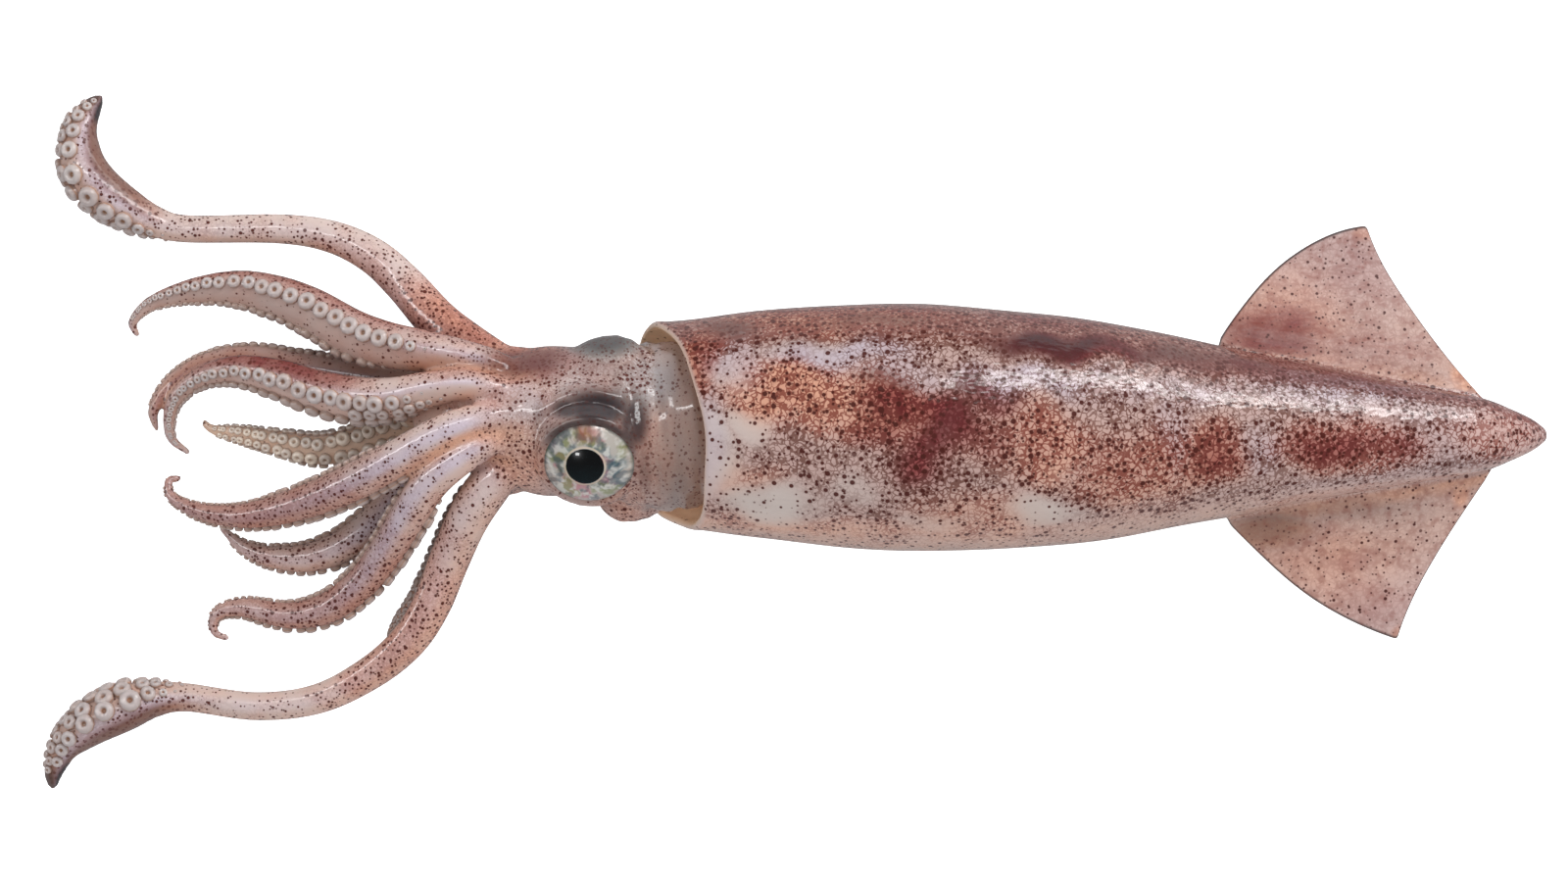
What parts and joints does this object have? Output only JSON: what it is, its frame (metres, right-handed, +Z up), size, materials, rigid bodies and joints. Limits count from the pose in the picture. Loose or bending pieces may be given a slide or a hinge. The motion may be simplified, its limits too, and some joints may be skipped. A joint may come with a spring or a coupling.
{
  "type": "whole raw squid",
  "caption": "Whole raw squid lying on its side: tapering mantle with tail fins, head with large eyes, arms and long feeding tentacles spread out.",
  "frame": {"origin": "on the table under the middle of the whole animal's box", "axes": "+X towards the tail, +Y across to the far fin, +Z up off the table"},
  "size_m": [0.3435, 0.1597, 0.0484],
  "materials": {
    "mantle": "wet skin with fine dark spots",
    "head_arms": "wet translucent flesh",
    "eye": "wet silvery iris with a black pupil"
  },
  "bodies": {
    "root": {"mantle": "mantle", "head_arms": "head_arms", "eye_near": "eye", "eye_far": "eye"}
  },
  "joints": []
}
